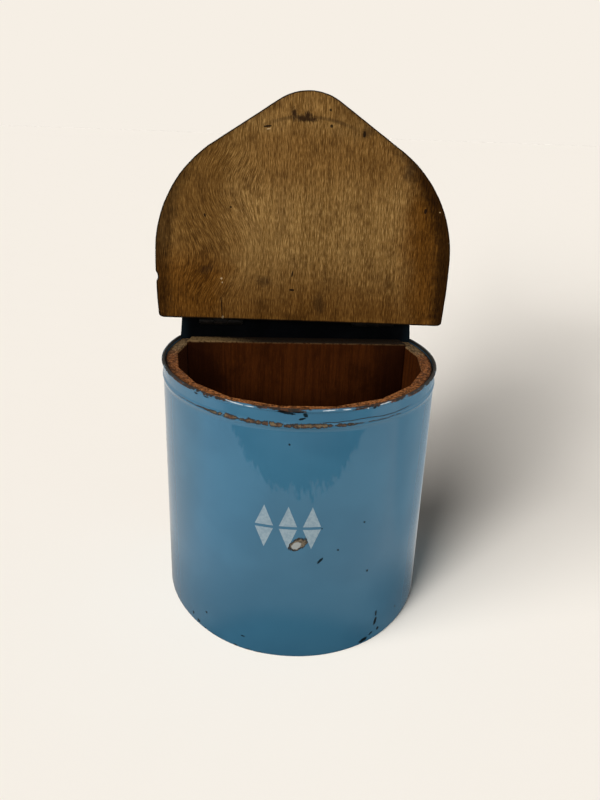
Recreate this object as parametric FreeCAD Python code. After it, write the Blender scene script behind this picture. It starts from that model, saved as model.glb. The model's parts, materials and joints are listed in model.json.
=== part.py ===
import FreeCAD, Part
import os
from math import asin, atan2, cos, degrees, hypot, pi, radians, sin, sqrt

Vector = FreeCAD.Vector

# A salt box to hang on a wall: an enamelled sheet-steel body of D-shaped plan, lined with wooden
# staves, and a wooden lid on two hinges, stored standing open.
# Millimetres. X runs to the right, Y back into the room's wall and Z up. The origin is the centre of
# the hanging hole in the plane of the room's wall, so that plane is y = 0.

# Enamelled body
body_width = 161.8           # across the widest line, outside the wall
front_reach = 92.0           # from the widest line to the front of the wall
back_reach = 33.3            # from the widest line to the room's wall
front_arc_half_angle = 45.0  # degrees that the front arc turns on each side of the middle
body_height = 149.9          # from the base to the top of the rolled rim
sheet = 1.2                  # sheet steel with its enamel
rim_proud = 0.8              # the rolled rim stands out of the wall
bead_drop = 9.5              # from the top of the rim to the middle of the bead below it
bead_proud = 0.5
bead_height = 2.6
base_round = 0.8             # rounded lower edge of the wall
seam_gap = 0.05              # between the wall and the bottom plate inside it

# Back plate
plate_step = 1.0             # each side steps in at the level of the rim
plate_taper = 2.5            # and draws in this much more up to the shoulders
arch_rise = 22.0             # from the plate's shoulders to the top of its arch
shoulder_margin = 4.0        # from the top of the hinge leaves to the plate's shoulders
hang_hole_diameter = 8.0
hang_hole_drop = 12.0        # from the top of the plate to the hole's centre

# Wooden lining
liner_gap = 0.15             # between the lining and the steel around it
stave_count = 11
stave_thickness = 6.2
stave_joint = 0.1            # gap between neighbouring pieces of the lining
stave_drop = 1.75            # from the top of the rim to the ends of the staves
floor_thickness = 8.0
back_board_thickness = 11.0  # its end is level with the top of the rim

# Lid
lid_width = 181.4            # across the lid's widest line
lid_length = 135.0           # from the rear edge to the tip
lid_thickness = 8.0
lid_widest_at = 40.2         # from the rear edge to the widest line
lid_rear_taper = 2.2         # each side draws in this much at the rear edge
lid_flank_slope = 33.74      # degrees from the rear edge to the straight flanks beside the tip
lid_tip_radius = 33.0
lid_corner_radius = 3.0      # rear corners
lid_edge_radius = 1.2        # worn edges all round
lid_shift = 2.3              # the lid is fitted this far to the right of the middle
lid_skew = 0.9               # and turned by these degrees on its hinges

# Hinges
hinge_spacing = 97.0         # between the middles of the two hinges
hinge_width = 26.0
leaf_thickness = 1.0
lid_leaf_length = 24.0       # from the pin along the lid
plate_leaf_height = 12.0     # from the pin up the back plate
barrel_diameter = 5.0
pin_diameter = 2.4
pin_head_diameter = 3.6
pin_head_length = 0.8
pin_play = 0.05              # radial play of the pin in its knuckles
knuckle_gap = 0.3            # between neighbouring knuckles
swing_gap = 0.3              # between a turning barrel and what it passes
lid_setback = 1.3            # from the pin's centre forward to the closed lid's rear edge
seat_gap = 0.3               # between the closed lid and the rim
rest_gap = 0.3               # between the open lid and the plate that it leans on

# Fasteners
fastener_fit = 0.05          # radial fit of screws and rivets in their holes
screw_shank_diameter = 2.5
screw_head_diameter = 5.0
screw_length = 6.5
screw_slot_width = 0.6
screw_slot_depth = 0.5
screw_row_near = 9.0         # from the pin to the two screws near it
screw_row_far = 19.0         # from the pin to the single screw near the leaf's end
screw_pair_spacing = 16.0
rivet_diameter = 2.4
rivet_head_diameter = 4.4
rivet_head_height = 0.9
rivet_row = 7.5              # from the pin up to the rivets
rivet_spacing = 16.0

# Hinge pin: it stands off the plate, and off the lid's upper face, by the barrel and its swing gap
barrel_radius = barrel_diameter / 2
pin_offset = barrel_radius + swing_gap
pin_y = -sheet - pin_offset
pin_above_base = body_height + seat_gap + lid_thickness + pin_offset

# Heights
plate_height = pin_above_base + plate_leaf_height + shoulder_margin + arch_rise
base_z = hang_hole_drop - plate_height
pin_z = base_z + pin_above_base
rim_z = base_z + body_height
stave_top_z = rim_z - stave_drop
floor_z = base_z + sheet
floor_top_z = floor_z + floor_thickness
plate_top_z = base_z + plate_height

# Lean of the open lid: its upper face comes to the front edge of the plate's top
plate_rise = plate_top_z - pin_z
plate_distance = hypot(plate_rise, pin_offset)
lid_lean = degrees(atan2(pin_offset, plate_rise) + asin((pin_offset - rest_gap) / plate_distance))
open_angle = 90 + lid_lean

# Plan of the wall: a front arc between two side arcs, all tangent, so one normal turns from side to side
half_width = body_width / 2
widest_y = -back_reach
front_turn = radians(front_arc_half_angle)
radius_step = (front_reach - half_width) / (sin(front_turn) + cos(front_turn) - 1)
side_radius = half_width + radius_step * sin(front_turn)
front_radius = front_reach - radius_step * cos(front_turn)
front_centre = (0.0, widest_y - front_reach + front_radius)


def side_centre(turn):
    sign = 1 if turn > 0 else -1
    return (sign * (half_width - side_radius), widest_y)


def plan_point(turn, inset, z):
    """Point of the plan where the outward normal has turned this far from the front, moved inward."""
    if abs(turn) <= front_turn:
        centre, radius = front_centre, front_radius
    else:
        centre, radius = side_centre(turn), side_radius
    return Vector(centre[0] + (radius - inset) * sin(turn), centre[1] - (radius - inset) * cos(turn), z)


def back_turn(inset, y):
    """Turn of the normal where the inset plan reaches the line at y."""
    return pi / 2 + asin((y - widest_y) / (side_radius - inset))


def plan_edges(start, end, inset, z):
    """Arcs of the inset plan from one turn to another."""
    stops = [start] + [turn for turn in (-front_turn, front_turn) if start < turn < end] + [end]
    edges = []
    for first, last in zip(stops, stops[1:]):
        points = [plan_point(turn, inset, z) for turn in (first, (first + last) / 2, last)]
        edges.append(Part.Arc(*points).toShape())
    return edges


def line(start, end):
    return Part.LineSegment(start, end).toShape()


def filled(edges):
    return Part.Face(Part.Wire(edges))


def d_plate(inset, back_gap, z, thickness):
    """Flat D-shaped board that fits inside the wall and ends short of the back plate."""
    back_y = -sheet - back_gap
    turn = back_turn(inset, back_y)
    edges = plan_edges(-turn, turn, inset, z)
    edges.append(line(edges[-1].Vertexes[-1].Point, edges[0].Vertexes[0].Point))
    return filled(Part.sortEdges(edges)[0]).extrude(Vector(0, 0, thickness))


# Enamelled wall
def wall_profile(radius):
    """Section of the wall with its rolled rim and bead, at this distance from the axis of its arc."""
    roll_radius = (sheet + rim_proud) / 2
    roll_x = rim_proud - roll_radius
    roll_z = body_height - roll_radius
    roll_foot_z = roll_z - sqrt(roll_radius ** 2 - roll_x ** 2)
    bead_z = body_height - bead_drop

    def at(out, up):
        return Vector(radius + out, 0, base_z + up)

    inner_foot = at(-sheet, 0)
    inner_top = at(-sheet, roll_z)
    roll_foot = at(0, roll_foot_z)
    bead_top = at(0, bead_z + bead_height / 2)
    bead_foot = at(0, bead_z - bead_height / 2)
    outer_foot = at(0, base_round)
    base_edge = at(-base_round, 0)
    round_middle = at(-base_round * (1 - cos(pi / 4)), base_round * (1 - sin(pi / 4)))
    return filled([
        line(inner_foot, inner_top),
        Part.Arc(inner_top, at(roll_x, body_height), at(rim_proud, roll_z)).toShape(),
        Part.Arc(at(rim_proud, roll_z),
                 at(roll_x + roll_radius * cos(pi / 4), roll_z - roll_radius * sin(pi / 4)),
                 roll_foot).toShape(),
        line(roll_foot, bead_top),
        Part.Arc(bead_top, at(bead_proud, bead_z), bead_foot).toShape(),
        line(bead_foot, outer_foot),
        Part.Arc(outer_foot, round_middle, base_edge).toShape(),
        line(base_edge, inner_foot),
    ])


def wall_sector(centre, radius, start, end):
    """Stretch of the wall about one centre, between two turns of the normal."""
    sector = wall_profile(radius).revolve(Vector(), Vector(0, 0, 1), degrees(end - start))
    sector.rotate(Vector(), Vector(0, 0, 1), degrees(start) - 90)
    sector.translate(Vector(centre[0], centre[1], 0))
    return sector


def enamel_wall():
    reach = back_turn(sheet, 0)
    left = wall_sector(side_centre(-1), side_radius, -reach, -front_turn)
    front = wall_sector(front_centre, front_radius, -front_turn, front_turn)
    right = wall_sector(side_centre(1), side_radius, front_turn, reach)
    wall = left.fuse([front, right]).removeSplitter()
    room_wall = Part.makeBox(2 * body_width, back_reach, 2 * body_height,
                             Vector(-body_width, -sheet, base_z - body_height / 2))
    return wall.cut(room_wall)


# Back plate
plate_half_width = half_width - side_radius + sqrt(side_radius ** 2 - (back_reach - sheet) ** 2)


def back_plate():
    neck = plate_half_width - plate_step
    corners = [(plate_half_width, base_z), (plate_half_width, rim_z), (neck, rim_z),
               (neck - plate_taper, plate_top_z - arch_rise)]
    right = [Vector(x, -sheet, z) for x, z in corners]
    left = [Vector(-x, -sheet, z) for x, z in reversed(corners)]
    outline = filled([line(*ends) for ends in zip(right, right[1:])]
                     + [Part.Arc(right[-1], Vector(0, -sheet, plate_top_z), left[0]).toShape()]
                     + [line(*ends) for ends in zip(left, left[1:] + right[:1])])
    plate = outline.extrude(Vector(0, sheet, 0))
    hole_start = Vector(0, -2 * sheet, 0)
    hang_hole = Part.makeCylinder(hang_hole_diameter / 2, 3 * sheet, hole_start, Vector(0, 1, 0))
    return plate.cut([hang_hole] + rivets(fastener_fit))


# Lining: the staves divide the plan evenly, with flat inner faces
liner_inset = sheet + liner_gap
liner_back_y = -sheet - liner_gap
stave_inset = liner_inset + stave_thickness
liner_turn = back_turn(liner_inset, liner_back_y)
front_run = (front_radius - liner_inset) * front_turn
liner_run = front_run + (side_radius - liner_inset) * (liner_turn - front_turn)


def turn_at(run):
    """Turn of the normal this far along the lining's outside from the middle of the front."""
    sign = 1 if run > 0 else -1
    if abs(run) <= front_run:
        return run / (front_radius - liner_inset)
    return sign * (front_turn + (abs(run) - front_run) / (side_radius - liner_inset))


def stave_turns(index):
    width = 2 * liner_run / stave_count
    start = -liner_run + index * width
    start_gap = 0 if index == 0 else stave_joint / 2
    end_gap = 0 if index == stave_count - 1 else stave_joint / 2
    return turn_at(start + start_gap), turn_at(start + width - end_gap)


def stave_inner_points(index):
    """Ends of the stave's flat inner face: square to the wall, but along the back plate at the ends."""
    start, end = stave_turns(index)
    if index == 0:
        start = -back_turn(stave_inset, liner_back_y)
    if index == stave_count - 1:
        end = back_turn(stave_inset, liner_back_y)
    return plan_point(start, stave_inset, floor_top_z), plan_point(end, stave_inset, floor_top_z)


def stave(index):
    start, end = stave_turns(index)
    edges = plan_edges(start, end, liner_inset, floor_top_z)
    inner_start, inner_end = stave_inner_points(index)
    outer_start = edges[0].Vertexes[0].Point
    outer_end = edges[-1].Vertexes[-1].Point
    edges += [line(outer_end, inner_end), line(inner_end, inner_start), line(inner_start, outer_start)]
    return filled(Part.sortEdges(edges)[0]).extrude(Vector(0, 0, stave_top_z - floor_top_z))


def liner_back_board():
    rear, front = stave_inner_points(0)
    slope = (front.x - rear.x) / (front.y - rear.y)
    gap = stave_joint * hypot(1, slope)
    board_front_y = liner_back_y - back_board_thickness
    rear_x = -rear.x - gap
    front_x = rear_x + slope * back_board_thickness
    half_corners = [(rear_x, liner_back_y), (front_x, board_front_y)]
    corners = half_corners + [(-x, y) for x, y in reversed(half_corners)]
    points = [Vector(x, y, floor_top_z) for x, y in corners]
    return Part.Face(Part.makePolygon(points + points[:1])).extrude(Vector(0, 0, rim_z - floor_top_z))


# Lid and hinges: made closed about a pin at the origin, with the front towards -Y, then opened
hinge_places = {"left": -hinge_spacing / 2, "right": hinge_spacing / 2}
lid_top = -pin_offset
lid_bottom = lid_top - lid_thickness
knuckle_length = (hinge_width - 2 * knuckle_gap) / 3
knuckle_step = knuckle_length + knuckle_gap


def opened(shape):
    shape.rotate(Vector(), Vector(1, 0, 0), -open_angle)
    shape.translate(Vector(0, pin_y, pin_z))
    return shape


def lid_outline():
    """Round shoulders that run into straight flanks and a blunt tip, above a straight rear edge."""
    half = lid_width / 2
    flank = pi / 2 - radians(lid_flank_slope)
    flank_reach = (lid_length - lid_tip_radius) * sin(flank) + lid_tip_radius
    shoulder_radius = (flank_reach - half * cos(flank) - lid_widest_at * sin(flank)) / (1 - cos(flank))
    side_x = half - shoulder_radius
    rear_radius = (lid_widest_at ** 2 + lid_rear_taper ** 2) / (2 * lid_rear_taper)
    rear_turn = asin(lid_widest_at / rear_radius)

    def at(x, forward):
        return Vector(lid_shift + x, -lid_setback - forward, lid_bottom)

    def arcs(side):
        shoulder = [(side_x + shoulder_radius * cos(a), lid_widest_at + shoulder_radius * sin(a))
                    for a in (0, flank / 2, flank)]
        rear = [(half - rear_radius * (1 - cos(a)), lid_widest_at - rear_radius * sin(a))
                for a in (rear_turn, rear_turn / 2, 0)]
        flank_end = (lid_tip_radius * cos(flank), lid_length - lid_tip_radius * (1 - sin(flank)))
        rear, shoulder, (flank_end,) = [
            [at(side * x, forward) for x, forward in run] for run in (rear, shoulder, [flank_end])]
        edges = [Part.Arc(*rear).toShape(), Part.Arc(*shoulder).toShape(), line(shoulder[-1], flank_end)]
        return edges, rear[0], flank_end

    right, right_rear, right_flank = arcs(1)
    left, left_rear, left_flank = arcs(-1)
    tip = Part.Arc(right_flank, at(0, lid_length), left_flank).toShape()
    return right + left + [tip, line(left_rear, right_rear)]


def is_upright(edge):
    ends = [v.Point for v in edge.Vertexes]
    return len(ends) == 2 and hypot(ends[0].x - ends[1].x, ends[0].y - ends[1].y) < 1e-6


def lid_board():
    board = filled(Part.sortEdges(lid_outline())[0]).extrude(Vector(0, 0, lid_thickness))
    rear_y = board.BoundBox.YMax
    uprights = [e for e in board.Edges if is_upright(e)]
    corners = [e for e in uprights if abs(e.Vertexes[0].Y - rear_y) < lid_corner_radius]
    board = board.makeFillet(lid_corner_radius, corners)
    rims = [e for e in board.Edges if not is_upright(e)]
    board = board.makeFillet(lid_edge_radius, rims)
    board.rotate(Vector(lid_shift, -lid_setback, 0), Vector(0, 0, 1), lid_skew)
    return opened(board.cut(lid_screws(fastener_fit)))


def leaf(length, knuckles):
    """Hinge leaf that lies forward of a pin at the origin, with knuckles out of -1, 0 and 1."""
    flat = Part.makeBox(hinge_width, length, leaf_thickness, Vector(-hinge_width / 2, -length, lid_top))
    rooms = []
    for index in {-1, 0, 1} - set(knuckles):
        room_length = knuckle_length + 2 * knuckle_gap
        corner = Vector(index * knuckle_step - room_length / 2, -pin_offset, lid_top)
        rooms.append(Part.makeBox(room_length, pin_offset, leaf_thickness, corner))
    along = Vector(1, 0, 0)
    barrels = []
    for index in knuckles:
        start = Vector(index * knuckle_step - knuckle_length / 2, 0, 0)
        barrels.append(Part.makeCylinder(barrel_radius, knuckle_length, start, along))
    bore_start = Vector(-hinge_width / 2, 0, 0)
    bore = Part.makeCylinder(pin_diameter / 2 + pin_play, hinge_width, bore_start, along)
    return flat.cut(rooms).fuse(barrels).cut(bore).removeSplitter()


def lid_leaf(centre_x):
    shape = leaf(lid_leaf_length, (0,))
    shape.translate(Vector(centre_x, 0, 0))
    return opened(shape.cut(lid_screws(fastener_fit)))


def plate_leaf(centre_x):
    shape = leaf(plate_leaf_height, (-1, 1))
    shape.rotate(Vector(), Vector(0, 0, 1), 180)
    shape.rotate(Vector(), Vector(1, 0, 0), 90)
    shape.translate(Vector(centre_x, pin_y, pin_z))
    return shape.cut(rivets(fastener_fit))


def hinge_pin(centre_x):
    start = Vector(centre_x - hinge_width / 2 - pin_head_length, pin_y, pin_z)
    along = Vector(1, 0, 0)
    shank = Part.makeCylinder(pin_diameter / 2, hinge_width + 2 * pin_head_length, start, along)
    head_starts = (start, start + along * (hinge_width + pin_head_length))
    heads = [Part.makeCylinder(pin_head_diameter / 2, pin_head_length, p, along) for p in head_starts]
    return shank.fuse(heads).removeSplitter()


# Fasteners: with a grown radius the same shapes cut their holes
def lid_screws(growth=0.0):
    """Countersunk screws, heads flush with the lid leaf, on the closed lid."""
    head_radius = screw_head_diameter / 2 + growth
    shank_radius = screw_shank_diameter / 2 + growth
    head_depth = head_radius - shank_radius
    top = lid_top + leaf_thickness
    screws = []
    for centre_x in hinge_places.values():
        places = [(centre_x - screw_pair_spacing / 2, screw_row_near),
                  (centre_x + screw_pair_spacing / 2, screw_row_near),
                  (centre_x, screw_row_far)]
        for x, forward in places:
            place = Vector(x, -forward, top)
            head = Part.makeCone(head_radius, shank_radius, head_depth, place, Vector(0, 0, -1))
            shank = Part.makeCylinder(shank_radius, screw_length + growth, place, Vector(0, 0, -1))
            screws.append(head.fuse(shank).removeSplitter())
    return screws


def slotted(screw):
    box = screw.BoundBox
    slot = Part.makeBox(box.XLength, screw_slot_width, screw_slot_depth,
                        Vector(box.XMin, box.Center.y - screw_slot_width / 2, box.ZMax - screw_slot_depth))
    return screw.cut(slot)


def lid_hinge_screws():
    return opened(Part.makeCompound([slotted(s) for s in lid_screws()]))


def rivets(growth=0.0):
    """Domed rivets through the plate leaves, clenched flush with the back of the plate."""
    radius = rivet_diameter / 2 + growth
    leaf_front_y = -sheet - leaf_thickness
    head_radius = rivet_head_diameter / 2
    dome_radius = (head_radius ** 2 + rivet_head_height ** 2) / (2 * rivet_head_height)
    result = []
    for centre_x in hinge_places.values():
        for side in (-1, 1):
            place = Vector(centre_x + side * rivet_spacing / 2, leaf_front_y, pin_z + rivet_row)
            shank = Part.makeCylinder(radius, sheet + leaf_thickness, place, Vector(0, 1, 0))
            if growth == 0:
                ball = Part.makeSphere(dome_radius, place + Vector(0, dome_radius - rivet_head_height, 0))
                behind = Part.makeBox(4 * dome_radius, 2 * dome_radius, 4 * dome_radius,
                                      place - Vector(2 * dome_radius, 0, 2 * dome_radius))
                shank = shank.fuse(ball.cut(behind)).removeSplitter()
            result.append(shank)
    return result


nodes = {
    "enamel_wall": enamel_wall(),
    "back_plate": back_plate(),
    "bottom_plate": d_plate(sheet + seam_gap, 0, base_z, sheet),
    "liner_floor": d_plate(liner_inset, liner_gap, floor_z, floor_thickness),
    "liner_back_board": liner_back_board(),
    "lid_board": lid_board(),
    "lid_hinge_screws": lid_hinge_screws(),
    "plate_hinge_rivets": Part.makeCompound(rivets()),
}
for number in range(stave_count):
    nodes["liner_stave_%02d" % (number + 1)] = stave(number)
for side, place in hinge_places.items():
    nodes["lid_hinge_leaf_" + side] = lid_leaf(place)
    nodes["plate_hinge_leaf_" + side] = plate_leaf(place)
    nodes["hinge_pin_" + side] = hinge_pin(place)

os.makedirs("parts", exist_ok=True)
for name, shape in nodes.items():
    shape.exportStep("parts/%s.step" % name)
    box = shape.BoundBox
    print("%-24s %d solid(s) %9.1f mm3 %s  y %.1f to %.1f  z %.1f to %.1f" % (
        name, len(shape.Solids), shape.Volume, "valid" if shape.isValid() else "NOT VALID",
        box.YMin, box.YMax, box.ZMin, box.ZMax))
print("front radius %.2f, side radius %.2f" % (front_radius, side_radius))
print("hinge pin at y %.3f z %.3f" % (pin_y, pin_z))
print("lid leans %.3f degrees, closes by %.3f" % (lid_lean, open_angle))
print("base at z %.3f, rim at %.3f, floor top at %.3f" % (base_z, rim_z, floor_top_z))
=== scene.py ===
import json
from math import asin, cos, pi, radians, sin

import bmesh
import bpy
from mathutils import Matrix, Vector, noise


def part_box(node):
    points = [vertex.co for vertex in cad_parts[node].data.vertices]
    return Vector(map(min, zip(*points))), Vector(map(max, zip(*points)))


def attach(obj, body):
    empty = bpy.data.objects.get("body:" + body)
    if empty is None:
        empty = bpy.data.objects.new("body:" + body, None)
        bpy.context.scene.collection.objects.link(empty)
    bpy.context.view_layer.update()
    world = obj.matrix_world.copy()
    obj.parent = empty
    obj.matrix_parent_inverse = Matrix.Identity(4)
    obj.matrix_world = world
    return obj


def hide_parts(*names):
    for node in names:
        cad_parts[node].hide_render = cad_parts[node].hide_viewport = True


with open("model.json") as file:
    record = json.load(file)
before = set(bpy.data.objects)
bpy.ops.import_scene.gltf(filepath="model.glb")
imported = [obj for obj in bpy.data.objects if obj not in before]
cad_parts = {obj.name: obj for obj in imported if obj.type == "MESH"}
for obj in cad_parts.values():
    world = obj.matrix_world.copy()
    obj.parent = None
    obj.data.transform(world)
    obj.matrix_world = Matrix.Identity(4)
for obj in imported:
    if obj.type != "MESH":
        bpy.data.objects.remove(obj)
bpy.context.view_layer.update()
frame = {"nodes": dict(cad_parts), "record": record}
nodes = frame["nodes"]
mm = 0.001
sideways, upward = Vector((1, 0, 0)), Vector((0, 0, 1))
print("frame loaded:", len(nodes), "nodes")


# Shader maths: a Wire is a socket that takes part in sums, a Look is one material or the world

class Wire:
    def __init__(self, look, socket):
        self.look, self.socket = look, socket

    def math(self, operation, *values):
        return self.look.node("ShaderNodeMath", {"operation": operation}, dict(enumerate(values)))

    def __add__(self, other):
        return self.math("ADD", self, other)

    def __radd__(self, other):
        return self.math("ADD", other, self)

    def __sub__(self, other):
        return self.math("SUBTRACT", self, other)

    def __rsub__(self, other):
        return self.math("SUBTRACT", other, self)

    def __mul__(self, other):
        return self.math("MULTIPLY", self, other)

    def __rmul__(self, other):
        return self.math("MULTIPLY", other, self)

    def __truediv__(self, other):
        return self.math("DIVIDE", self, other)

    def __abs__(self):
        return self.math("ABSOLUTE", self)

    def __or__(self, other):  # the stronger of two masks
        return self.math("MAXIMUM", self, other)

    def __and__(self, other):  # the weaker of two masks
        return self.math("MINIMUM", self, other)


class Look:
    def __init__(self, holder, shader="Principled BSDF"):
        holder.use_nodes = True
        self.holder, self.tree = holder, holder.node_tree
        self.shader = self.tree.nodes[shader]

    def node(self, kind, settings=None, sockets=None, out=0):
        made = self.tree.nodes.new(kind)
        for key, value in (settings or {}).items():
            setattr(made, key, value)
        for key, value in (sockets or {}).items():
            if isinstance(value, Wire):
                self.tree.links.new(value.socket, made.inputs[key])
            else:
                made.inputs[key].default_value = value
        return Wire(self, made.outputs[out])

    def place(self, centre=(0, 0, 0), turn=(0, 0, 0), size=(mm, mm, mm), start=None):
        # object coordinates, or those of start, moved, turned and stretched like a texture
        start = start or self.node("ShaderNodeTexCoord", out="Object")
        return self.node("ShaderNodeMapping", {"vector_type": "TEXTURE"}, {
            "Vector": start, "Location": centre, "Rotation": turn, "Scale": size})

    def mark(self, start, marks, ragged, axis=1):
        # ellipses on a face square to the axis: above 0 inside, 1 at the middle
        total = None
        for across, along, half, tall, tilt in marks:
            centre, turn, size = [across, along], [0, 0, 0], [half, tall]
            centre.insert(axis, 0)
            size.insert(axis, 1e6)
            turn[axis] = radians(tilt) * (1 if axis == 2 else -1)
            inside = 1.0 - self.length(self.place(centre, turn, size, start)) + ragged
            total = inside if total is None else total | inside
        return total

    def axes(self, vector):
        return [self.node("ShaderNodeSeparateXYZ", sockets={"Vector": vector}, out=n) for n in range(3)]

    def join(self, x, y, z):
        return self.node("ShaderNodeCombineXYZ", sockets={"X": x, "Y": y, "Z": z})

    def cloud(self, vector, scale=1.0, detail=3.0, rough=0.5, bend=0.0):
        return self.node("ShaderNodeTexNoise", sockets={
            "Vector": vector, "Scale": scale, "Detail": detail, "Roughness": rough, "Distortion": bend})

    def ramp(self, value, low, high):
        # 0 below low, 1 above high, smooth between them; low may be the larger
        return self.node("ShaderNodeMapRange", {"interpolation_type": "SMOOTHSTEP"}, {
            "Value": value, "From Min": low, "From Max": high})

    def mix(self, factor, first, second, blend="MIX"):
        return self.node("ShaderNodeMix", {"data_type": "RGBA", "blend_type": blend},
                         {0: factor, 6: first, 7: second}, out=2)

    def length(self, vector):
        return self.node("ShaderNodeVectorMath", {"operation": "LENGTH"}, {0: vector}, out="Value")

    def bump(self, height, depth, strength=1.0):
        # depth in millimetres for a height of 1
        return self.node("ShaderNodeBump", sockets={
            "Height": height, "Distance": depth * mm, "Strength": strength})

    def finish(self, **sockets):
        # varying values are linked and constants set on the shader's own sockets
        for key, value in sockets.items():
            target = self.shader.inputs[key.replace("_", " ")]
            if isinstance(value, Wire):
                self.tree.links.new(value.socket, target)
            else:
                target.default_value = value
        return self.holder


def newLook(name):
    return Look(bpy.data.materials.new(name))


def tone(red, green, blue):
    # linear colour from the values that a colour picker shows
    return tuple((c / 255 / 12.92) if c < 11 else ((c / 255 + 0.055) / 1.055) ** 2.4
                 for c in (red, green, blue)) + (1.0,)


# Mesh helpers

def newPiece(name, bm, material, body, replaces=(), sharpAt=40):
    mesh = bpy.data.meshes.new(name)
    bm.to_mesh(mesh)
    bm.free()
    mesh.polygons.foreach_set("use_smooth", [True] * len(mesh.polygons))
    mesh.set_sharp_from_angle(angle=radians(sharpAt))
    mesh.materials.append(material)
    piece = bpy.data.objects.new(name, mesh)
    bpy.context.scene.collection.objects.link(piece)
    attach(piece, body)
    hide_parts(*replaces)
    print("piece", name, len(mesh.polygons), "faces")
    return piece


def vertsOf(geometry):
    return [g for g in geometry if isinstance(g, bmesh.types.BMVert)]


def wholeOf(bm):
    return bm.verts[:] + bm.edges[:] + bm.faces[:]


def lineTo(bm, vert, point):
    made = bmesh.ops.extrude_vert_indiv(bm, verts=[vert])["verts"][0]
    made.co = point
    return made


def arcTo(bm, vert, centre, axis, angle, steps):
    made = bmesh.ops.spin(bm, geom=[vert], cent=centre, axis=axis, angle=angle, steps=steps)
    return vertsOf(made["geom_last"])[0]


def divideLong(bm, step):
    for edge in [e for e in bm.edges if e.calc_length() > 2 * step]:
        bmesh.ops.subdivide_edges(bm, edges=[edge], cuts=int(edge.calc_length() / step))


# Enamelled wall: the section at the middle of the front is spun round the plan, then mirrored

plan = {"half": 80.9 * mm, "frontRadius": 73.05 * mm, "sideRadius": 99.85 * mm, "frontTurn": radians(45),
        "widest": -33.3 * mm}
plan["front"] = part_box("bottom_plate")[0].y - 1.25 * mm
plan["base"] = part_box("bottom_plate")[0].z
plan["frontCentre"] = Vector((0, plan["front"] + plan["frontRadius"], 0))
plan["sideCentre"] = Vector((plan["half"] - plan["sideRadius"], plan["widest"], 0))
wall = {
    "sheet": 1.2 * mm,
    "height": 149.9 * mm,
    "rimProud": 0.8 * mm,
    "beadDrop": 9.5 * mm, "beadProud": 0.5 * mm, "beadHeight": 2.6 * mm,
    "baseRound": 0.8 * mm,
    "row": 2 * mm, "frontSteps": 46, "sideSteps": 96,
    "dent": 0.12 * mm, "dentSize": 26 * mm,  # how far and how wide the sheet is out of true
    "calmBack": 40 * mm, "calmRim": 20 * mm,  # true again this near to the back seam and the rim
}

# wear in millimetres: a chip is its middle, across the front and above a level near the base, two half
# sizes and a tilt in degrees
wear = {
    "from": 0.4,  # that level, above the base
    "beadAt": 140.7, "beadFrom": -66.0, "beadTo": 52.0,
    "secondAt": 142.4, "secondFrom": 4.0, "secondTo": 58.0,  # a finer line above the bead
    "oval": [(-3.2, 73.4, 5.6, 3.4, 33)],
    "ovalMiddle": [(-4.0, 72.6, 3.2, 2.1, 33)],
    "dots": [(9.0, 63.0, 2.3, 0.7, 48), (18.4, 68.5, 0.6, 0.6, 0), (32.2, 82.3, 0.6, 0.6, 0),
             (36.3, 50.2, 0.6, 0.7, 0), (-9.1, 130.5, 0.5, 0.6, 0), (9.1, 82.6, 0.4, 0.4, 0)],
    "foot": [(44.4, 17.2, 0.6, 2.0, 0), (44.2, 11.6, 0.9, 2.6, -12), (46.4, 5.2, 0.8, 1.1, 0),
             (37.2, 2.2, 2.6, 1.3, 14), (41.8, 4.4, 1.2, 0.7, 30), (58.4, 11.0, 0.4, 0.7, 0),
             (-61.7, 4.6, 0.5, 1.2, 0), (-53.1, 12.6, 0.6, 0.7, 0), (-58.2, 2.2, 0.9, 0.8, -30),
             (-31.8, 8.5, 1.2, 0.4, 0)],
    "rim": [(-11.2, 147.5, 4.6, 0.9, -9), (-5.4, 147.9, 2.8, 0.5, 4), (-1.7, 146.3, 1.5, 1.0, -42),
            (-3.4, 144.3, 1.8, 0.6, 16), (-56.5, 147.4, 1.0, 0.8, 0), (-51.0, 147.6, 1.6, 0.6, 0),
            (33.0, 147.8, 1.0, 0.9, 0)],
    # painted highlights: pale glints along the rim top
    "rimGlints": [(-36.0, 149.0, 6.0, 0.35, -4), (-29.0, 148.7, 3.0, 0.3, 0), (10.0, 149.0, 4.5, 0.35, 2),
                (18.5, 148.9, 3.0, 0.4, 0), (29.5, 148.2, 0.7, 0.6, 0), (39.0, 149.0, 4.0, 0.3, 3)],
    "rimRust": [(-8.5, 148.6, 8.0, 1.0, -2), (25.5, 148.5, 5.0, 0.6, 2), (-66.0, 148.6, 6.0, 0.7, 0),
                (58.0, 148.5, 6.0, 0.7, 0), (-13.0, 147.8, 3.0, 0.6, 0)],
}
# a row of stencilled lozenges on the front
lozenges = {"middles": (-21.0, -8.6, 3.8), "height": 83.0, "halfWidth": 5.0, "halfHeight": 12.5,
            "bridge": 0.8}


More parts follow.
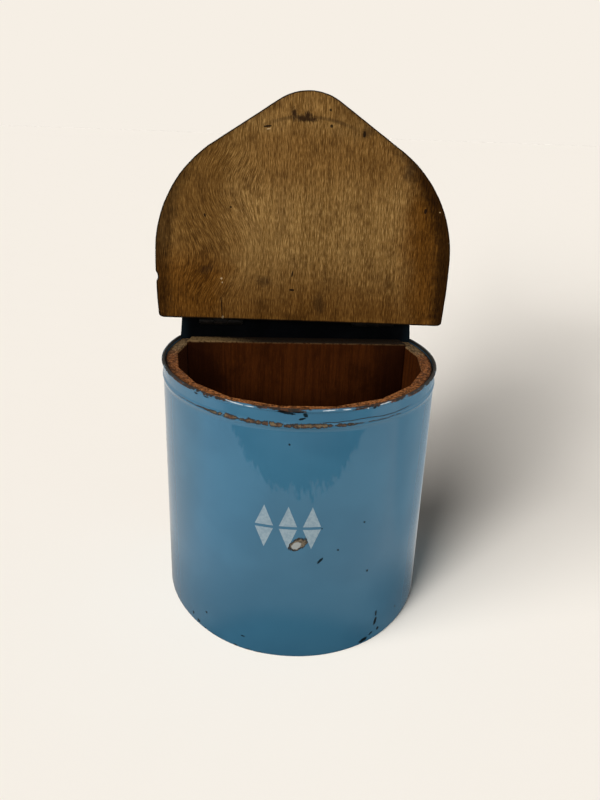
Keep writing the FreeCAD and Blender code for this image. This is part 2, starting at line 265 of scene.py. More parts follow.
def enamelLook():
    look = newLook("enamelBlue")
    spot = look.place((0, 0, plan["base"] + wear["from"] * mm))
    x, y, z = look.axes(spot)
    out = look.node("ShaderNodeAttribute", {"attribute_name": "out"}, out="Fac")
    broad = look.cloud(spot, 0.03, 2)
    fine = look.cloud(spot, 0.6, 4, 0.6)
    ragged = (look.cloud(spot, 0.9, 4, 0.7) - 0.5) * 1.1
    colour = look.mix(look.ramp(broad, 0.35, 0.65), tone(48, 93, 118), tone(52, 98, 123))
    colour = look.mix(look.ramp(fine, 0.62, 0.76) * 0.1, colour, tone(40, 84, 112))

    # stencilled lozenges, cut across by a bridge
    motif = None
    level = abs(z - lozenges["height"])
    for middle in lozenges["middles"]:
        across = abs(x - middle) / lozenges["halfWidth"] + level / lozenges["halfHeight"]
        shape = look.ramp(across + ragged * 0.06, 1.03, 0.97)
        motif = shape if motif is None else motif | shape
    bridges = look.ramp(level, lozenges["bridge"] - 0.15, lozenges["bridge"] + 0.15)
    motif = motif & bridges & look.ramp(y, -100, -104)
    colour = look.mix(motif * (0.7 + 0.25 * look.ramp(fine, 0.4, 0.6)), colour, tone(133, 150, 158))

    # enamel gone along the bead: a thin wandering line that opens into patches left of the middle
    along = look.join(x * 0.11, y * 0.11, 0)
    torn = (look.cloud(spot, 0.75, 5, 0.85) - 0.5) * 3.4
    line = abs(z - wear["beadAt"] - 1.6 * (look.cloud(along, 1.0, 3) - 0.5))
    opened = look.ramp(look.cloud(along, 1.3, 3, 0.7), 0.34, 0.54) * look.ramp(abs(x + 14), 44, 26)
    onBead = look.ramp(x, wear["beadFrom"] - 3, wear["beadFrom"] + 3)
    onBead = onBead & look.ramp(x, wear["beadTo"], wear["beadTo"] - 9)
    gaps = look.ramp(look.cloud(along, 4.0, 3, 0.6), 0.36, 0.5)
    worn = (0.22 + 1.05 * opened - line + torn * (0.3 + 0.7 * opened)) * onBead * gaps
    worn = worn * look.ramp(y, -20, -40)
    second = abs(z - wear["secondAt"] - 2.2 * (look.cloud(along, 0.8, 2) - 0.5))
    onSecond = look.ramp(x, wear["secondFrom"], wear["secondFrom"] + 8)
    onSecond = onSecond & look.ramp(x, wear["secondTo"], wear["secondTo"] - 10)
    worn = worn | (0.22 - second + ragged * 0.4) * onSecond
    oval = look.mark(spot, wear["oval"], ragged)
    worn = worn | oval
    worn = worn | look.ramp(z, 1.2, 0.2) * (look.cloud(spot, 0.22, 4, 0.7) - 0.58) * 5  # frayed foot
    small = look.mark(spot, wear["dots"] + wear["foot"] + wear["rim"], ragged * 1.2)
    worn = worn | small & 0.25
    chip = look.ramp(worn, 0.0, 0.08)
    small = look.ramp(small, 0.0, 0.08)
    rusting = look.ramp(look.cloud(spot, 0.3, 3, 0.6), 0.45, 0.55)
    steel = look.mix(rusting, tone(92, 78, 56), tone(80, 53, 34))
    steel = look.mix(look.ramp(worn + (fine - 0.5) * 2.4, 0.3, 0.8), tone(20, 17, 14), steel)
    steel = look.mix(look.ramp(fine, 0.5, 0.6) * 0.85, steel, tone(22, 18, 14))
    steel = look.mix(look.ramp(oval, 0.1, 0.3) * look.ramp(fine, 0.6, 0.4), steel, tone(104, 92, 74))
    middle = look.mark(spot, wear["ovalMiddle"], ragged * 0.6)
    steel = look.mix(look.ramp(middle, 0.0, 0.25), steel, tone(142, 145, 142))
    steel = look.mix(small * 0.8, steel, tone(12, 42, 54))  # small chips show the dark ground coat
    colour = look.mix(chip, colour, steel)
    # the rolled rim is black against the wood and rusted through in places
    rusty = look.ramp(look.mark(spot, wear["rimRust"], ragged * 1.2), 0.0, 0.3)
    bare = look.ramp(out - rusty + ragged * 0.9, 0.0, -0.3) * look.ramp(z, 147.4, 148.0)
    bare = bare | rusty * look.ramp(z + ragged * 0.6, 147.3, 147.9)
    deepness = look.ramp(x, -30, -48) * 1.5 + look.ramp(abs(x + 13), 17, 9) * 1.2
    deepness = deepness + look.ramp(x, 15, 34) * 1.5
    deepness = deepness * look.ramp(look.cloud(along, 1.7, 3, 0.7), 0.3, 0.6) * look.ramp(y, -24, -60)
    eaten = look.ramp(z - wall["height"] / mm + wear["from"] + deepness + torn * 0.7, 0.0, 0.2)
    bare = bare | eaten * look.ramp(z, 146.0, 146.6)
    patches = look.ramp(look.cloud(spot, 0.25, 3, 0.7), 0.44, 0.56)
    rusty = rusty | eaten * look.ramp(abs(x), 66, 50) * patches
    rust = look.mix(rusty * look.ramp(fine, 0.45, 0.6), tone(20, 18, 16), tone(74, 44, 26))
    colour = look.mix(bare, colour, rust)
    # painted highlights: pale glints on the rim
    pale = look.ramp(look.mark(spot, wear["rimGlints"], ragged * 1.3), 0.1, 0.5)
    colour = look.mix(pale * 0.8, colour, tone(186, 196, 200))
    dull = look.ramp(z, wear["beadAt"] + 0.6, wear["beadAt"] + 1.8)  # the band below the rim
    rough = 0.025 + 0.02 * look.ramp(fine, 0.4, 0.7) + 0.12 * dull + 0.5 * chip + 0.6 * bare
    comb = look.cloud(look.join(x * 0.34, 0, z * 0.17), 1.0, 1, 0.5)
    height = 0.003 * fine + 0.045 * comb * look.ramp(abs(x + 3), 54, 40) * look.ramp(z, 70, 86) - chip
    return look.finish(Base_Color=colour, Roughness=rough, Metallic=small * 0.75,
                       Normal=look.bump(height, 0.2, 0.8), IOR=1.5)


def buildWall():
    bm = bmesh.new()
    outLayer = bm.verts.layers.float.new("out")

    def at(out, up):
        return Vector((0, plan["front"] - out, plan["base"] + up))

    rollRadius = (wall["sheet"] + wall["rimProud"]) / 2
    rollMiddle = at(wall["rimProud"] - rollRadius, wall["height"] - rollRadius)
    rollTurn = pi + asin((wall["rimProud"] - rollRadius) / rollRadius) + pi / 2
    beadUp = wall["height"] - wall["beadDrop"]
    beadRadius = (wall["beadHeight"] ** 2 / 4 + wall["beadProud"] ** 2) / (2 * wall["beadProud"])
    beadTurn = 2 * asin(wall["beadHeight"] / 2 / beadRadius)
    first = bm.verts.new(at(-wall["sheet"], 0))
    last = lineTo(bm, first, at(-wall["sheet"], wall["height"] - rollRadius))
    last = arcTo(bm, last, rollMiddle, sideways, rollTurn, 18)
    last = lineTo(bm, last, at(0, beadUp + wall["beadHeight"] / 2))
    beadMiddle = at(wall["beadProud"] - beadRadius, beadUp)
    last = arcTo(bm, last, beadMiddle, sideways, beadTurn, 8)
    foot = lineTo(bm, last, at(0, wall["baseRound"]))
    last = arcTo(bm, foot, at(-wall["baseRound"], wall["baseRound"]), sideways, pi / 2, 4)
    bm.edges.new((last, first))
    divideLong(bm, wall["row"])
    for v in bm.verts:  # millimetres out of the wall's face, for the enamel
        v[outLayer] = (plan["front"] - v.co.y) / mm

    ring = bmesh.ops.spin(bm, geom=wholeOf(bm), cent=plan["frontCentre"], axis=upward,
                          angle=plan["frontTurn"], steps=wall["frontSteps"])["geom_last"]
    reach = pi / 2 + asin(-plan["widest"] / (plan["sideRadius"] - wall["sheet"]))
    bmesh.ops.spin(bm, geom=ring, cent=plan["sideCentre"], axis=upward, angle=reach - plan["frontTurn"],
                   steps=wall["sideSteps"])
    bmesh.ops.bisect_plane(bm, geom=wholeOf(bm), plane_co=(0, -wall["sheet"], 0), plane_no=(0, 1, 0),
                           clear_outer=True)
    bmesh.ops.mirror(bm, geom=wholeOf(bm), axis="X", merge_dist=0.01 * mm)
    bmesh.ops.remove_doubles(bm, verts=bm.verts[:], dist=0.005 * mm)
    bmesh.ops.holes_fill(bm, edges=[e for e in bm.edges if e.is_boundary])
    bmesh.ops.recalc_face_normals(bm, faces=bm.faces[:])
    for v in bm.verts:  # hand-formed sheet: slow waves that fade at the rim and the back seam
        calm = min(1, max(0, -v.co.y / wall["calmBack"]))
        calm *= min(1, (plan["base"] + wall["height"] - v.co.z) / wall["calmRim"])
        v.co.y += wall["dent"] * calm * noise.noise(v.co / wall["dentSize"])
    return newPiece("enamelWall", bm, enamelLook(), "case", ["enamel_wall"])


# Lid: half the outline is drawn with arcs, mirrored, thickened and given worn edges

lid = {
    "half": 90.7 * mm, "length": 135 * mm, "thickness": 8 * mm,
    "widestAt": 40.2 * mm, "rearTaper": 2.2 * mm, "tipRadius": 33 * mm, "flankSlope": radians(33.74),
    "cornerRadius": 3 * mm, "edge": 1.2 * mm, "step": 1.8 * mm,
    "shift": 2.3 * mm, "setback": 1.3 * mm, "skew": radians(0.9), "pinToTop": 2.8 * mm,
    "openBy": radians(97.976),
    "nibble": 0.12 * mm, "nibbleWide": 9 * mm, "nibbleFine": 2.4 * mm,  # how uneven the sawn outline is
    "middle": 60 * mm,  # forward of the rear edge: the sawn edge goes in towards this point
    "notch": (25.0 * mm, 3.2 * mm, 1.6 * mm),  # in the left edge: forward, half length, depth
    "wideFace": 1e-3,  # square metres: the two faces have more, the rounded edge has less
}
lid["flank"] = pi / 2 - lid["flankSlope"]
lid["reach"] = (lid["length"] - lid["tipRadius"]) * sin(lid["flank"]) + lid["tipRadius"]
lid["shoulder"] = ((lid["reach"] - lid["half"] * cos(lid["flank"]) - lid["widestAt"] * sin(lid["flank"]))
                   / (1 - cos(lid["flank"])))
joint = frame["record"]["behaviour"]["joints"][0]
pin = Vector(joint["pos_m"])
lidPlace = (Matrix.Translation(pin) @ Matrix.Rotation(-lid["openBy"], 4, "X")
            @ Matrix.Translation((lid["shift"], -lid["setback"], -lid["pinToTop"]))
            @ Matrix.Rotation(lid["skew"], 4, "Z"))


# marks on the lid's underside: millimetres across and forward of the rear edge, half sizes, tilt in degrees
lidMarks = {
    "holes": [(11.8, 124.4, 0.8, 0.9, 0), (12.8, 115.6, 1.0, 1.1, 0), (-45.4, 67.3, 0.7, 0.7, 0),
              (-60.8, 62.0, 0.7, 1.3, 25), (-7.2, 29.2, 0.6, 2.2, -8), (-7.1, 19.5, 1.8, 0.8, 0),
              (-24.7, 113.8, 2.8, 0.7, 8), (72.6, 69.8, 1.0, 1.8, 0), (32.5, 112.0, 1.0, 2.2, 0)],
    "crack": [(-50.0, 7.5, 0.4, 8.5, 5)],
    "pale": [(-50.4, 25.0, 0.8, 1.0, 0), (-49.9, 22.6, 0.6, 0.8, 0), (-49.3, 1.6, 0.7, 1.5, 0),
             (-24.0, 112.4, 1.8, 0.6, 12), (81.5, 69.5, 0.5, 0.7, 0)],
    "stain": [(-3.0, 119.0, 10.5, 2.6, -3), (-9.5, 121.0, 2.4, 5.0, 0), (-1.5, 120.5, 3.0, 3.6, 0)],
    "blotch": [(60.5, 92.0, 4.0, 9.0, -20), (34.0, 113.0, 6.0, 4.5, 40), (-60.0, 30.0, 7.0, 4.0, 20),
               (10.0, 11.0, 6.0, 10.0, 5), (-24.0, 24.0, 7.0, 5.0, 0)],
    "imprintRadius": 69.5, "imprintAt": 50.5,
    "figureAt": (-52.0, 58.0), "figureHalf": (38.0, 50.0), "figureLean": 0.5,
}


def lidLook():
    look = newLook("lidWood")
    board = look.place(lidPlace.translation, lidPlace.to_euler("XYZ"), (mm, -mm, mm))
    x, forward, z = look.axes(board)
    # the grain runs from rear to tip and leans over round a figured patch on the left
    figure = look.mark(board, [lidMarks["figureAt"] + lidMarks["figureHalf"] + (0,)], 0, axis=2)
    figure = look.ramp(figure, 0.0, 0.8)
    wander = look.cloud(look.join(x * 0.02, forward * 0.006, 3.7), 1.0, 2) - 0.5
    grainX = x + wander * 8 + figure * (forward - lidMarks["figureAt"][1]) * lidMarks["figureLean"]
    streak = look.cloud(look.join(grainX * 2.0, forward * 0.05, z * 0.2), 1.0, 3, 0.7)
    fleck = look.cloud(look.join(grainX * 3.2, forward * 0.22, z * 0.5), 1.0, 2, 0.6)
    band = look.cloud(look.join(grainX * 0.06, forward * 0.006, 0), 1.0, 3, 0.5)
    dirt = look.cloud(board, 0.045, 4, 0.6)
    grime = look.cloud(board, 0.35, 4, 0.65)
    ragged = (look.cloud(board, 0.8, 3, 0.7) - 0.5) * 1.2
    colour = look.mix(look.ramp(band, 0.3, 0.7), tone(109, 80, 40), tone(122, 92, 50))
    colour = look.mix(look.ramp(streak, 0.46, 0.62) * 0.65, colour, tone(70, 47, 18))
    colour = look.mix(look.ramp(streak, 0.46, 0.34) * 0.45, colour, tone(158, 124, 74))
    colour = look.mix(look.ramp(fleck, 0.48, 0.64) * 0.62, colour, tone(56, 36, 13))
    colour = look.mix(look.ramp(fleck, 0.48, 0.32) * 0.54, colour, tone(176, 142, 88))
    # redder and darker towards both sides, the hinges and the rim's mark
    warpX, warpF = x + (dirt - 0.5) * 30 - 8, forward + (dirt - 0.5) * 24
    deep = look.ramp(abs(warpX), 38, 66) | look.ramp(warpF, 48, 4) * 0.85
    deep = deep | look.ramp(warpF, 66, 96) * look.ramp(warpF, 124, 104) * 0.5
    deep = deep | look.ramp(forward, 112, 122) * 0.35
    leftPart = look.ramp(x, -20, -50) * look.ramp(forward, 26, 50)
    tint = look.mix(leftPart, (0.5, 0.36, 0.18, 1), (0.6, 0.53, 0.42, 1))
    colour = look.mix(deep, colour, tint, "MULTIPLY")
    colour = look.mix(look.ramp(dirt, 0.52, 0.7) * 0.4, colour, (0.5, 0.45, 0.4, 1), "MULTIPLY")
    mottle = look.cloud(board, 0.1, 3, 0.6)
    colour = look.mix(look.ramp(mottle, 0.52, 0.68) * 0.45, colour, (0.56, 0.52, 0.5, 1), "MULTIPLY")
    colour = look.mix(look.ramp(grime, 0.6, 0.72) * 0.3, colour, (0.45, 0.4, 0.35, 1), "MULTIPLY")
    # darker along the outline, most on the right; inset is measured in from the shoulders and the flanks
    beside, ahead = abs(x) - (lid["half"] - lid["shoulder"]) / mm, forward - lid["widestAt"] / mm
    onArc = lid["shoulder"] / mm - look.length(look.join(beside, ahead | 0, 0))
    onFlank = lid["reach"] / mm - abs(x) * cos(lid["flank"]) - forward * sin(lid["flank"])
    past = look.ramp(ahead * cos(lid["flank"]) - beside * sin(lid["flank"]), -0.5, 0.5)
    inset = onArc + past * (onFlank - onArc)
    wide = 0.9 + 8.0 * look.ramp(x, 20, 60) * look.ramp(forward, 112, 76)
    wide = wide + 8.0 * look.ramp(x, -50, -80) * look.ramp(forward, 110, 50)
    darkOutline = look.ramp(inset - wide + (grime - 0.5) * 10, 4.5, -4.0) * (0.75 + 0.25 * look.ramp(x, -20, 20))
    colour = look.mix(darkOutline, colour, (0.26, 0.25, 0.28, 1), "MULTIPLY")
    edge = look.node("ShaderNodeAttribute", {"attribute_name": "edge"}, out="Fac")
    colour = look.mix(look.ramp(edge + ragged * 0.2, 0.25, 0.75) * 0.9, colour, tone(22, 17, 11))
    # where the rim has marked the wood, stains, nail holes, a crack and pale scuffs
    under = look.ramp(z, -7.0, -7.6)
    ring = look.length(look.join(x, forward - lidMarks["imprintAt"], 0)) - lidMarks["imprintRadius"]
    imprint = look.ramp(abs(ring) + ragged * 0.8, 1.5, 0.3)
    imprint = imprint * look.ramp(forward, 100, 116) * look.ramp(abs(x - 2), 34, 14)
    stain = look.ramp(look.mark(board, lidMarks["stain"], ragged * 0.9 + (fleck - 0.5) * 1.8, 2), 0.0, 0.6)
    blotch = look.ramp(look.mark(board, lidMarks["blotch"], ragged * 0.9, 2), 0.0, 0.8) * 0.55
    colour = look.mix((imprint * 0.5 | stain * 0.95 | blotch) * under, colour, tone(34, 21, 10))
    pale = look.ramp(look.mark(board, lidMarks["pale"], ragged * 1.2, 2), 0.1, 0.6) * under
    colour = look.mix(pale * 0.75, colour, tone(172, 148, 112))
    # painted shade with dirt: the nail holes and the crack are drawn as dark spots
    pits = look.mark(board, lidMarks["holes"] + lidMarks["crack"], ragged * 0.3, 2)
    pits = look.ramp(pits, 0.0, 0.3) * under
    colour = look.mix(pits * 0.92, colour, tone(16, 10, 6))
    rough = 0.5 + 0.2 * look.ramp(grime, 0.35, 0.7)
    height = streak * 0.4 + fleck * 0.6 - pits * 3
    return look.finish(Base_Color=colour, Roughness=rough, Normal=look.bump(height, 0.12, 0.5),
                       Specular_IOR_Level=0.03)


def buildLid():
    bm = bmesh.new()
    edgeLayer = bm.verts.layers.float.new("edge")
    flank = lid["flank"]
    rearRadius = (lid["widestAt"] ** 2 + lid["rearTaper"] ** 2) / (2 * lid["rearTaper"])
    rearTurn = asin(lid["widestAt"] / rearRadius)
    widest = Vector((lid["half"], -lid["widestAt"], 0))
    middle = bm.verts.new((0, 0, 0))
    corner = lineTo(bm, middle, (lid["half"] - lid["rearTaper"], 0, 0))
    last = arcTo(bm, corner, widest - sideways * rearRadius, upward, -rearTurn, 20)
    last = arcTo(bm, last, widest - sideways * lid["shoulder"], upward, -flank, 44)
    tipMiddle = Vector((0, lid["tipRadius"] - lid["length"], 0))
    flankEnd = tipMiddle + lid["tipRadius"] * Vector((cos(flank), -sin(flank), 0))
    last = lineTo(bm, last, flankEnd)
    arcTo(bm, last, tipMiddle, upward, -(pi / 2 - flank), 12)
    bmesh.ops.bevel(bm, geom=[corner], offset=lid["cornerRadius"], segments=5, profile=0.5,
                    affect="VERTICES", material=-1)
    divideLong(bm, lid["step"])
    bmesh.ops.mirror(bm, geom=wholeOf(bm), axis="X", merge_dist=0.01 * mm)
    centre = Vector((0, -lid["middle"], 0))
    forward, half, depth = lid["notch"]
    for v in bm.verts:
        out = noise.noise(v.co / lid["nibbleWide"]) + 0.6 * noise.noise(v.co / lid["nibbleFine"]) - 1.6
        v.co += lid["nibble"] * out * (v.co - centre).normalized()
        if v.co.x < 0:
            v.co.x += depth * max(0, 1 - abs(-v.co.y - forward) / half)
    face = bmesh.ops.contextual_create(bm, geom=bm.edges[:])["faces"]
    under = bmesh.ops.extrude_face_region(bm, geom=face)["geom"]
    bmesh.ops.translate(bm, verts=vertsOf(under), vec=(0, 0, -lid["thickness"]))
    bmesh.ops.recalc_face_normals(bm, faces=bm.faces[:])
    rims = [e for e in bm.edges if abs(e.verts[0].co.z - e.verts[1].co.z) < 0.1 * mm]
    bmesh.ops.bevel(bm, geom=rims, offset=lid["edge"], segments=3, profile=0.5, affect="EDGES", material=-1,
                    clamp_overlap=False)
    for v in bm.verts:  # 1 on the rounded edge, 0 on the two faces, for the wood
        v[edgeLayer] = 0 if max(f.calc_area() for f in v.link_faces) > lid["wideFace"] else 1
    bmesh.ops.transform(bm, matrix=lidPlace, verts=bm.verts[:])
    return newPiece("lidBoard", bm, lidLook(), "lid", ["lid_board"])


# CAD nodes that keep their shape: edges are rounded by modifiers

def dress(name, material, rounding, segments=2):
    node = nodes[name]
    if not node.material_slots:
        node.data.materials.append(material)
    for holder in node.material_slots:
        holder.material = material
    weld = node.modifiers.new("weld", "WELD")
    weld.merge_threshold = 0.002 * mm
    bevel = node.modifiers.new("round", "BEVEL")
    bevel.width = rounding * mm
    bevel.segments = segments
    bevel.limit_method = "ANGLE"
    bevel.angle_limit = radians(35)
    bevel.loop_slide = False
    even = node.modifiers.new("even", "WEIGHTED_NORMAL")  # wide flat faces stay flat
    even.keep_sharp = True


lining = {
    "staves": 11, "rounding": 0.5, "boardRounding": 0.8,
    "top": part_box("liner_stave_06")[1].z / mm, "rim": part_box("liner_back_board")[1].z / mm,
    "tanAt": -20.0, "rustAt": -42.0,  # from back to front: tan ends, then rusty ones
}


def planDepth(look, x, y):
    # millimetres in from the outer face of the wall: the front arc, then the side arcs
    ahead, beside = plan["frontCentre"].y / mm - y, abs(x) - plan["sideCentre"].x / mm
    front = plan["frontRadius"] / mm - look.length(look.join(x, ahead, 0))
    side = plan["sideRadius"] / mm - look.length(look.join(beside, y - plan["widest"] / mm, 0))
    past = look.ramp(abs(x) * cos(plan["frontTurn"]) - ahead * sin(plan["frontTurn"]), -0.3, 0.3)
    return front + past * (side - front)


def liningLook(name, seed, endAt, lip=False):
    look = newLook(name)
    spot = look.place()
    x, y, z = look.axes(spot)
    own = seed * 13.7  # each piece is cut from its own stretch of wood
    streak = look.cloud(look.join(x * 0.6 + own, y * 0.6, z * 0.03), 1.0, 4, 0.6)
    fleck = look.cloud(look.join(x * 1.8 + own, y * 1.8, z * 0.2), 1.0, 3, 0.6)
    dirt = look.cloud(look.join(x * 0.06 + own, y * 0.06, z * 0.06), 1.0, 4, 0.6)
    crumb = look.cloud(spot, 0.7, 4, 0.7)
    colour = look.mix(look.ramp(streak, 0.35, 0.65), tone(62, 29, 8), tone(47, 20, 5))
    colour = look.mix(look.ramp(fleck, 0.52, 0.7) * 0.5, colour, tone(38, 15, 3))
    colour = look.mix(look.ramp(fleck, 0.44, 0.3) * 0.25, colour, tone(96, 54, 14))
    colour = look.mix(look.ramp(dirt, 0.5, 0.7) * 0.5, colour, tone(34, 13, 3))
    if lip:  # painted shade: the board is darker towards both ends, in the inner corners
        colour = look.mix(look.ramp(abs(x) + (dirt - 0.5) * 24, 38, 60) * 0.8, colour, tone(24, 8, 3))
    else:  # painted shade: the staves and floor are darker on the left, in the shade of the left wall
        colour = look.mix(look.ramp(x, -52, -64) * 0.75, colour, tone(20, 8, 4))
    # end grain at the rim: tan or rusty, black in its hollows
    end = look.ramp(z, endAt - 1.0, endAt - 0.35)
    if lip:  # blackened, and worn to tan along the front on the left
        left = look.ramp(x + (crumb - 0.5) * 40, -22, -60)
        worn = left * look.ramp(y + (crumb - 0.5) * 6 - left * 4, -6, -9)
        grain = look.mix(worn, tone(26, 21, 16), tone(108, 86, 56))
    else:
        rusty = look.ramp(y + (dirt - 0.5) * 24, lining["tanAt"], lining["rustAt"])
        grain = look.mix(rusty, tone(128, 104, 72), tone(148, 92, 52))
        grain = look.mix(look.ramp(y, -78, -98) * 0.7, grain, tone(176, 112, 62))  # bright wood in front
        grain = look.mix(look.ramp(crumb, 0.42, 0.32) * 0.6, grain, tone(170, 126, 88))
        rot = look.cloud(spot, 1.3, 3, 0.7)
        hollow = look.cloud(spot, 0.4, 3, 0.7)
        grain = look.mix(look.ramp(rot, 0.48, 0.58) * 0.8, grain, tone(46, 29, 20))
        grain = look.mix(look.ramp(hollow, 0.5, 0.58) * 0.7, grain, tone(34, 22, 15))
        seam = look.ramp(planDepth(look, x, y) + (crumb - 0.5) * 4, 3.0, 1.7)
        grain = look.mix(seam, grain, tone(14, 11, 9))  # black against the steel
    grain = look.mix(look.ramp(crumb, 0.52, 0.62) * 0.9, grain, tone(40, 24, 14))
    colour = look.mix(end, colour, grain)
    arris = look.ramp(z, endAt - 1.3, endAt - 0.9) * look.ramp(z, endAt - 0.2, endAt - 0.5)
    arris = arris * look.ramp(crumb, 0.6, 0.45) * (0.2 if lip else 0.6)
    colour = look.mix(arris, colour, tone(150, 114, 76))
    height = streak * 0.4 + fleck * 0.3 + crumb * end * 2.4
    rough = 0.6 + 0.2 * look.ramp(crumb, 0.4, 0.6)
    return look.finish(Base_Color=colour, Roughness=rough, Normal=look.bump(height, 0.25, 0.8),
                       Specular_IOR_Level=0.05)


# back plate and bottom plate: near-black below the hinge line as painted shade of the lid, blue above it
# (millimetres)
plate = {
    "rounding": 0.4, "bottomRounding": 0.3,
    "paintedShadeTo": -22.0, "unshadedFrom": -6.0,
    "paintedShade": (tone(2, 3, 4), tone(4, 5, 7)), "blue": (tone(24, 40, 51), tone(17, 29, 38)),
}


def darkEnamelLook():
    look = newLook("enamelDark")
    spot = look.place()
    x, y, z = look.axes(spot)
    fine = look.cloud(spot, 0.5, 4, 0.6)
    broad = look.cloud(spot, 0.05, 3)
    # painted shade: near-black where the lid shades the plate
    colour = look.mix(look.ramp(broad, 0.4, 0.65), *plate["paintedShade"])
    # painted sheen: bluer towards the sides
    colour = look.mix(look.ramp(abs(x), 67, 74) * 0.8, colour, tone(14, 22, 27))
    colour = look.mix(look.ramp(fine, 0.66, 0.74) * 0.4, colour, tone(14, 11, 9))
    # blue above the hinge line and behind, clear of the painted shade; chipped round the hanging hole and
    # along the edges
    unshaded = look.ramp(z, plate["paintedShadeTo"], plate["unshadedFrom"]) | look.ramp(y, -0.7, -0.5)
    runs = look.cloud(look.join(x * 0.5, y, z * 0.04), 1.0, 3)
    blue = look.mix(look.ramp(broad, 0.4, 0.62), *plate["blue"])
    blue = look.mix(look.ramp(runs, 0.5, 0.7) * 0.5, blue, tone(12, 19, 25))
    colour = look.mix(unshaded, colour, blue)
    around = look.length(look.join(x, 0, z))
    edge = look.ramp(abs(x), 70, 75) | look.ramp(z, -180, -186) | look.ramp(around, 9, 4.5)
    chip = look.ramp(edge * 0.22 + fine, 0.7, 0.74) * unshaded
    colour = look.mix(chip, colour, tone(52, 34, 22))
    rough = 0.35 + 0.15 * look.ramp(fine, 0.4, 0.7) + 0.3 * chip
    return look.finish(Base_Color=colour, Roughness=rough, Normal=look.bump(fine - chip, 0.08, 0.4),
                       Specular_IOR_Level=0.05)


# painted shade: the hinge and fastener steel is near-black, as dark as the shade under the lid
hinge = {"rounding": 0.2, "steel": (tone(22, 20, 18), tone(13, 12, 11))}
fastener = {"rounding": 0.1, "steel": (tone(26, 24, 21), tone(16, 15, 13))}


def steelLook(name, light, dark):
    look = newLook(name)
    spot = look.place()
    x, y, z = look.axes(spot)
    drawn = look.cloud(look.join(x * 0.3, y * 6, z * 6), 1.0, 3)
    rust = look.cloud(spot, 0.5, 4, 0.7)
    worn = look.ramp(rust, 0.5, 0.66)
    colour = look.mix(look.ramp(drawn, 0.35, 0.65), light, dark)
    colour = look.mix(worn * 0.7, colour, tone(28, 18, 12))
    return look.finish(Base_Color=colour, Metallic=0.6 - 0.5 * worn, Roughness=0.55 + 0.3 * worn,
                       Normal=look.bump(rust + drawn * 0.3, 0.08, 0.6))


buildWall()
buildLid()
for number in range(1, lining["staves"] + 1):
    dress("liner_stave_%02d" % number, liningLook("liningWood%02d" % number, number, lining["top"]),
          lining["rounding"])
dress("liner_back_board", liningLook("backBoardWood", 12, lining["rim"], True), lining["boardRounding"], 3)
dress("liner_floor", liningLook("floorWood", 13, 0), lining["rounding"])
darkEnamel = darkEnamelLook()
dress("back_plate", darkEnamel, plate["rounding"])
dress("bottom_plate", darkEnamel, plate["bottomRounding"])
hingeSteel = steelLook("hingeSteel", *hinge["steel"])
fastenerSteel = steelLook("fastenerSteel", *fastener["steel"])
for side in ("left", "right"):
    dress("lid_hinge_leaf_" + side, hingeSteel, hinge["rounding"])
    dress("plate_hinge_leaf_" + side, hingeSteel, hinge["rounding"])
    dress("hinge_pin_" + side, fastenerSteel, hinge["rounding"])
dress("lid_hinge_screws", fastenerSteel, fastener["rounding"])
dress("plate_hinge_rivets", fastenerSteel, fastener["rounding"])
print("materials done")


# Studio: a wide pale floor under an even sky, softboxes in front and on both sides for the object, and
# suns for the floor's shadow alone

studio = {
    "floorHalf": 200.0, "pale": tone(246, 239, 229),
    "sky": (0.1, 0.0995, 0.098, 1),
    # suns: travel in degrees from the back towards the right, fall, spread, power
    "suns": [(36, 6, 30, 13.0), (58, 13, 44, 5.35)],
    # softboxes: place, width, height, power
    "softboxes": [((0.0, -1.4, 0.5), 1.2, 0.4, 12.5), ((-1.05, -0.35, 0.5), 0.5, 0.35, 11.0),
                  ((1.05, -0.35, 0.5), 0.5, 0.35, 6.4)],
    "aim": (0, -0.06, -0.08),
    # ground mirrored in the enamel, in millimetres: dark beyond a bent line, and close before the foot
    "darkBeyond": -311.0, "bendLeft": 0.0006, "bendRight": 0.0002, "darkFoot": (-4.0, -115.0, 53.0, 46.0),
    "darkRight": (76.0, -84.0, 40.0, 36.0),
    "dimFoot": (0, -60.0, 80.0, 97.0),  # ground that throws less light back
    "mirrored": (0.7, 0.67, 0.63, 1), "mirroredLeft": (0.74, 0.88, 1.04, 1),
    "mirroredRight": (0.4, 0.45, 0.48, 1),
    "mirroredDark": (0.05, 0.05, 0.05, 1), "mirroredFar": (0.3, 0.32, 0.36, 1),
}
black = (0, 0, 0, 1)


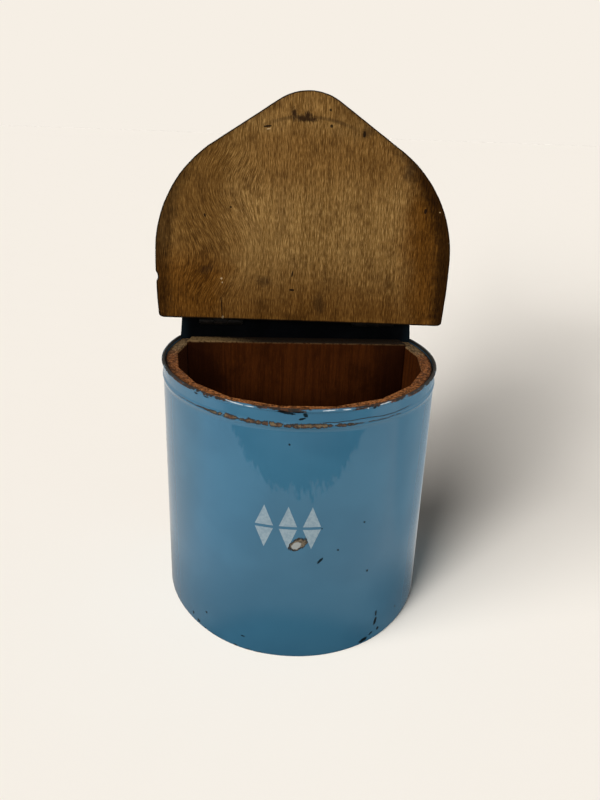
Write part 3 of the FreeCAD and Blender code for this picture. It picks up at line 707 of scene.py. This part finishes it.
def floorLook():
    look = newLook("paleFloor")
    look.holder.cycles.emission_sampling = "NONE"
    spot = look.place()
    x, y, z = look.axes(spot)
    glossy = look.node("ShaderNodeLightPath", out="Is Glossy Ray")
    bounced = look.node("ShaderNodeLightPath", out="Is Diffuse Ray")

    def near(ellipse):
        across, along, half, long = ellipse
        return look.length(look.join((x - across) / half, (y - along) / long, 0))

    patchy = look.ramp(look.cloud(spot, 0.02, 3), 0.3, 0.7) * 0.04
    colour = look.mix(patchy, studio["pale"], tone(238, 230, 219))
    # less light comes back from close round the foot, and mirrored ground has a brightness of its own
    colour = look.mix(bounced * look.ramp(near(studio["dimFoot"]), 2.2, 1.0) * 0.6, colour, black)
    colour = look.mix(glossy, colour, black)
    onLeft = look.ramp(x, -60, -160) * look.ramp(y, -20, -100)
    onRight = look.ramp(x, 60, 160) * look.ramp(y, -110, -50)
    shown = look.mix(onLeft, studio["mirrored"], studio["mirroredLeft"])
    shown = look.mix(onRight, shown, studio["mirroredRight"])
    bend = (x & 0) * (x & 0) * studio["bendLeft"] + (x | 0) * (x | 0) * studio["bendRight"]
    beyond = studio["darkBeyond"] + bend - y + (look.cloud(spot, 0.055, 3, 0.75) - 0.5) * 105
    dark = look.mix(look.ramp(beyond, 10, 150), studio["mirroredDark"], studio["mirroredFar"])
    shown = look.mix(look.ramp(near(studio["dimFoot"]), 1.7, 0.95) * 0.4, shown, black)
    shown = look.mix(look.ramp(near(studio["darkRight"]), 1.9, 0.3) * 0.6, shown, black)
    shown = look.mix(look.ramp(beyond, -2, 2) | look.ramp(near(studio["darkFoot"]), 1.3, 0.75), shown, dark)
    shown = look.mix(glossy, black, shown)
    return look.finish(Base_Color=colour, Roughness=1.0, Specular_IOR_Level=0.0, Emission_Color=shown,
                       Emission_Strength=1.0)


def buildFloor():
    bm = bmesh.new()
    bmesh.ops.create_grid(bm, x_segments=1, y_segments=1, size=studio["floorHalf"])
    bmesh.ops.translate(bm, verts=bm.verts[:], vec=(0, 0, plan["base"]))
    mesh = bpy.data.meshes.new("floor")
    bm.to_mesh(mesh)
    bm.free()
    mesh.materials.append(floorLook())
    floor = bpy.data.objects.new("floor", mesh)
    bpy.context.scene.collection.objects.link(floor)
    return floor


def lamp(name, kind, place, travel, floorAlone, **settings):
    data = bpy.data.lights.new(name, kind)
    for key, value in settings.items():
        setattr(data, key, value)
    light = bpy.data.objects.new(name, data)
    light.location = place
    light.visible_glossy = False  # no lamp is mirrored in the enamel
    light.rotation_euler = Vector(travel).to_track_quat("-Z", "Y").to_euler()
    bpy.context.scene.collection.objects.link(light)
    lit = bpy.data.collections.new(name + "Floor")  # it falls on the floor alone, or on all but the floor
    lit.objects.link(floor)
    lit.collection_objects[0].light_linking.link_state = "INCLUDE" if floorAlone else "EXCLUDE"
    light.light_linking.receiver_collection = lit


floor = buildFloor()
for number, (place, wide, high, power) in enumerate(studio["softboxes"]):
    travel = Vector(studio["aim"]) - Vector(place)
    lamp("softbox%d" % number, "AREA", place, travel, False,
         shape="RECTANGLE", size=wide, size_y=high, energy=power)
for number, (turn, fall, spread, power) in enumerate(studio["suns"]):
    level = Vector((sin(radians(turn)), cos(radians(turn)), 0))
    travel = level * cos(radians(fall)) - upward * sin(radians(fall))
    lamp("sun%d" % number, "SUN", (0, 0, 1), travel, True, energy=power, angle=radians(spread))
sky = Look(bpy.data.worlds.new("studio"), "Background")
seen = [sky.node("ShaderNodeLightPath", out="Is %s Ray" % kind)
        for kind in ("Camera", "Glossy", "Transmission")]
sky.finish(Color=sky.mix(seen[0] | seen[1] | seen[2], studio["sky"], studio["pale"]), Strength=1.0)
bpy.context.scene.world = sky.holder
bpy.context.scene.view_settings.view_transform = "Standard"

# camera: place and turn found from the rim, the base and the lid in the photograph
view = {"place": (-25.35 * mm, -427.75 * mm, 85.75 * mm), "pitch": 21.28, "yaw": -3.90, "roll": 2.02,
        "lens": 30.63}
camera = bpy.data.objects.new("camera", bpy.data.cameras.new("camera"))
camera.data.lens = view["lens"]
camera.data.clip_start = 0.01
camera.matrix_world = (Matrix.Translation(view["place"]) @ Matrix.Rotation(radians(view["yaw"]), 4, "Z")
                       @ Matrix.Rotation(radians(90 - view["pitch"]), 4, "X")
                       @ Matrix.Rotation(radians(view["roll"]), 4, "Z"))
bpy.context.scene.collection.objects.link(camera)
bpy.context.scene.camera = camera

print("studio done")
